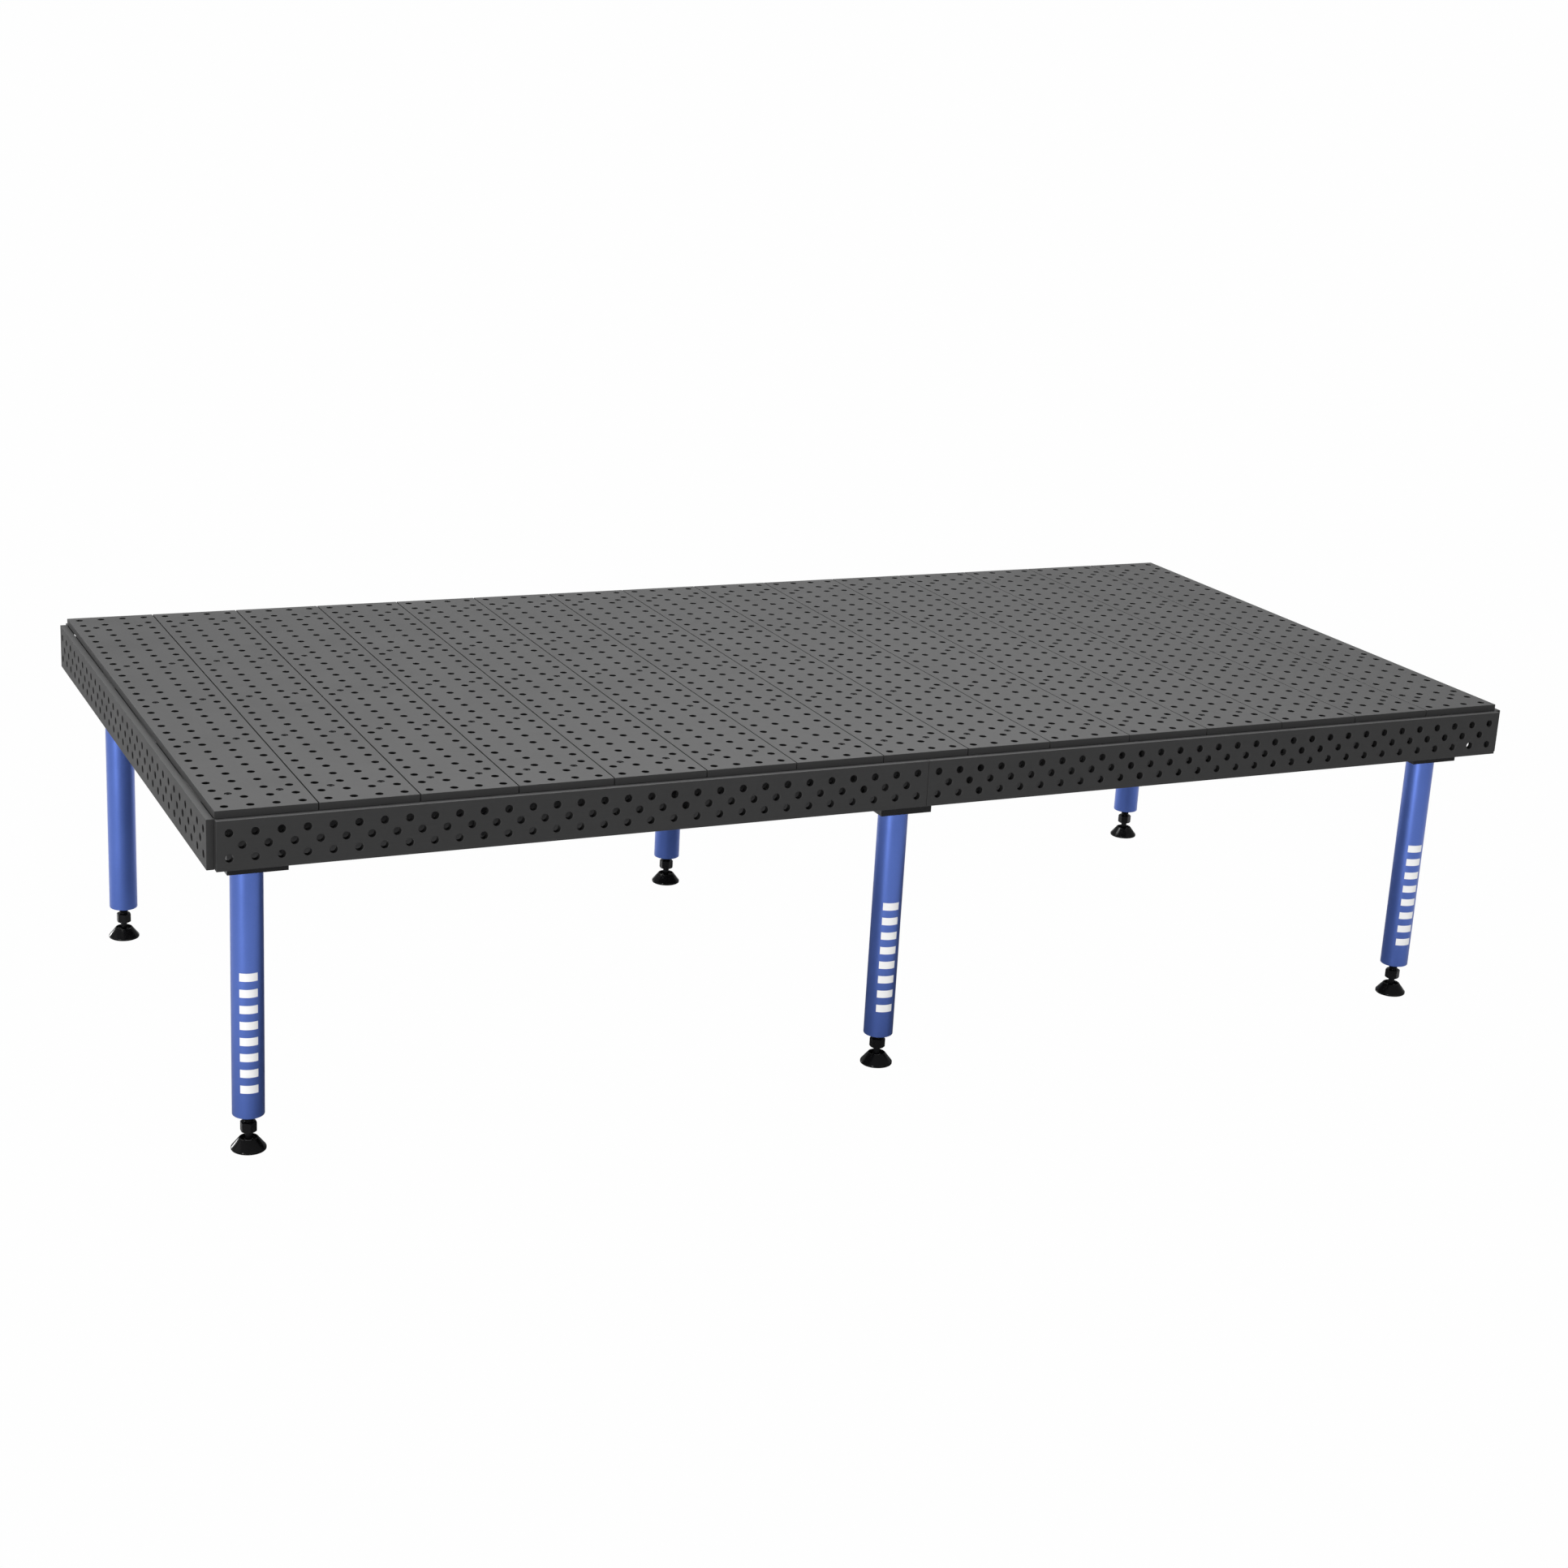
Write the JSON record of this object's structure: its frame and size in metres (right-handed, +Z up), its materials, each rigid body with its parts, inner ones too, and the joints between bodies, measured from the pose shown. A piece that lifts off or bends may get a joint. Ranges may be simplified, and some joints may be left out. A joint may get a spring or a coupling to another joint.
{
  "type": "welding table",
  "caption": "Long flat steel welding table with a grid of fixture holes in its plank deck and hanging side plates, on round tube legs with ball-jointed levelling feet.",
  "frame": {"origin": "On the floor, under the middle of the table, with the feet at rest height.", "axes": "+X along the table to the right, -Y the front, +Z up."},
  "size_m": [3.03, 1.53, 0.76],
  "materials": {
    "table_steel": "mill-ground steel, faint brushing along the planks",
    "frame_black": "satin black paint",
    "flange_black": "satin black paint",
    "leg_blue": "semi-gloss mid blue powder coat",
    "foot_black": "glossy black oxide",
    "screw_black": "black oxide",
    "plug_steel": "turned steel",
    "ball_steel": "ground steel"
  },
  "bodies": {
    "table": {"deck_plank_01": "table_steel", "deck_plank_02": "table_steel", "deck_plank_03": "table_steel", "deck_plank_04": "table_steel", "deck_plank_05": "table_steel", "deck_plank_06": "table_steel", "deck_plank_07": "table_steel", "deck_plank_08": "table_steel", "deck_plank_09": "table_steel", "deck_plank_10": "table_steel", "deck_plank_11": "table_steel", "deck_plank_12": "table_steel", "deck_plank_13": "table_steel", "deck_plank_14": "table_steel", "deck_plank_15": "table_steel", "front_plate_left": "table_steel", "front_plate_right": "table_steel", "back_plate_left": "table_steel", "back_plate_right": "table_steel", "left_end_plate": "table_steel", "right_end_plate": "table_steel", "front_beam": "frame_black", "back_beam": "frame_black", "cross_beams": "frame_black", "beam_end_caps": "frame_black", "deck_bearers": "frame_black", "plate_gussets": "frame_black", "deck_screws": "screw_black", "leg_screws": "screw_black", "leg_end_plugs": "plug_steel", "leg_flange_front_left": "flange_black", "leg_flange_front_middle": "flange_black", "leg_flange_front_right": "flange_black", "leg_flange_back_left": "flange_black", "leg_flange_back_middle": "flange_black", "leg_flange_back_right": "flange_black", "leg_tube_front_left": "leg_blue", "leg_tube_front_middle": "leg_blue", "leg_tube_front_right": "leg_blue", "leg_tube_back_left": "leg_blue", "leg_tube_back_middle": "leg_blue", "leg_tube_back_right": "leg_blue"},
    "ball_front_left": {"ball_bush_front_left": "ball_steel"},
    "spindle_front_left": {"foot_spindle_front_left": "foot_black"},
    "pad_front_left": {"foot_pad_front_left": "foot_black"},
    "ball_front_middle": {"ball_bush_front_middle": "ball_steel"},
    "spindle_front_middle": {"foot_spindle_front_middle": "foot_black"},
    "pad_front_middle": {"foot_pad_front_middle": "foot_black"},
    "ball_front_right": {"ball_bush_front_right": "ball_steel"},
    "spindle_front_right": {"foot_spindle_front_right": "foot_black"},
    "pad_front_right": {"foot_pad_front_right": "foot_black"},
    "ball_back_left": {"ball_bush_back_left": "ball_steel"},
    "spindle_back_left": {"foot_spindle_back_left": "foot_black"},
    "pad_back_left": {"foot_pad_back_left": "foot_black"},
    "ball_back_middle": {"ball_bush_back_middle": "ball_steel"},
    "spindle_back_middle": {"foot_spindle_back_middle": "foot_black"},
    "pad_back_middle": {"foot_pad_back_middle": "foot_black"},
    "ball_back_right": {"ball_bush_back_right": "ball_steel"},
    "spindle_back_right": {"foot_spindle_back_right": "foot_black"},
    "pad_back_right": {"foot_pad_back_right": "foot_black"}
  },
  "joints": [
    {"name": "foot_height_front_left", "type": "slide", "parent": "table", "child": "ball_front_left", "axis": [0, 0, -1], "range_m": [-0.012, 0.045]},
    {"name": "spindle_turn_front_left", "type": "hinge", "parent": "ball_front_left", "child": "spindle_front_left", "pos_m": [-1.408, -0.619, 0.015], "axis": [0, 0, -1], "range_deg": [-1730, 6482]},
    {"name": "pad_tilt_front_left", "type": "hinge", "parent": "ball_front_left", "child": "pad_front_left", "pos_m": [-1.408, -0.619, 0.015], "axis": [1, 0, 0], "range_deg": [-8, 8]},
    {"name": "foot_height_front_middle", "type": "slide", "parent": "table", "child": "ball_front_middle", "axis": [0, 0, -1], "range_m": [-0.012, 0.045]},
    {"name": "spindle_turn_front_middle", "type": "hinge", "parent": "ball_front_middle", "child": "spindle_front_middle", "pos_m": [0, -0.619, 0.015], "axis": [0, 0, -1], "range_deg": [-1730, 6482]},
    {"name": "pad_tilt_front_middle", "type": "hinge", "parent": "ball_front_middle", "child": "pad_front_middle", "pos_m": [0, -0.619, 0.015], "axis": [1, 0, 0], "range_deg": [-8, 8]},
    {"name": "foot_height_front_right", "type": "slide", "parent": "table", "child": "ball_front_right", "axis": [0, 0, -1], "range_m": [-0.012, 0.045]},
    {"name": "spindle_turn_front_right", "type": "hinge", "parent": "ball_front_right", "child": "spindle_front_right", "pos_m": [1.408, -0.619, 0.015], "axis": [0, 0, -1], "range_deg": [-1730, 6482]},
    {"name": "pad_tilt_front_right", "type": "hinge", "parent": "ball_front_right", "child": "pad_front_right", "pos_m": [1.408, -0.619, 0.015], "axis": [1, 0, 0], "range_deg": [-8, 8]},
    {"name": "foot_height_back_left", "type": "slide", "parent": "table", "child": "ball_back_left", "axis": [0, 0, -1], "range_m": [-0.012, 0.045]},
    {"name": "spindle_turn_back_left", "type": "hinge", "parent": "ball_back_left", "child": "spindle_back_left", "pos_m": [-1.408, 0.619, 0.015], "axis": [0, 0, -1], "range_deg": [-1730, 6482]},
    {"name": "pad_tilt_back_left", "type": "hinge", "parent": "ball_back_left", "child": "pad_back_left", "pos_m": [-1.408, 0.619, 0.015], "axis": [1, 0, 0], "range_deg": [-8, 8]},
    {"name": "foot_height_back_middle", "type": "slide", "parent": "table", "child": "ball_back_middle", "axis": [0, 0, -1], "range_m": [-0.012, 0.045]},
    {"name": "spindle_turn_back_middle", "type": "hinge", "parent": "ball_back_middle", "child": "spindle_back_middle", "pos_m": [0, 0.619, 0.015], "axis": [0, 0, -1], "range_deg": [-1730, 6482]},
    {"name": "pad_tilt_back_middle", "type": "hinge", "parent": "ball_back_middle", "child": "pad_back_middle", "pos_m": [0, 0.619, 0.015], "axis": [1, 0, 0], "range_deg": [-8, 8]},
    {"name": "foot_height_back_right", "type": "slide", "parent": "table", "child": "ball_back_right", "axis": [0, 0, -1], "range_m": [-0.012, 0.045]},
    {"name": "spindle_turn_back_right", "type": "hinge", "parent": "ball_back_right", "child": "spindle_back_right", "pos_m": [1.408, 0.619, 0.015], "axis": [0, 0, -1], "range_deg": [-1730, 6482]},
    {"name": "pad_tilt_back_right", "type": "hinge", "parent": "ball_back_right", "child": "pad_back_right", "pos_m": [1.408, 0.619, 0.015], "axis": [1, 0, 0], "range_deg": [-8, 8]}
  ],
  "couplings": [
    {"joint": "spindle_turn_front_left", "follows": "foot_height_front_left", "rad_per_m": 2513.3},
    {"joint": "spindle_turn_front_middle", "follows": "foot_height_front_middle", "rad_per_m": 2513.3},
    {"joint": "spindle_turn_front_right", "follows": "foot_height_front_right", "rad_per_m": 2513.3},
    {"joint": "spindle_turn_back_left", "follows": "foot_height_back_left", "rad_per_m": 2513.3},
    {"joint": "spindle_turn_back_middle", "follows": "foot_height_back_middle", "rad_per_m": 2513.3},
    {"joint": "spindle_turn_back_right", "follows": "foot_height_back_right", "rad_per_m": 2513.3}
  ]
}
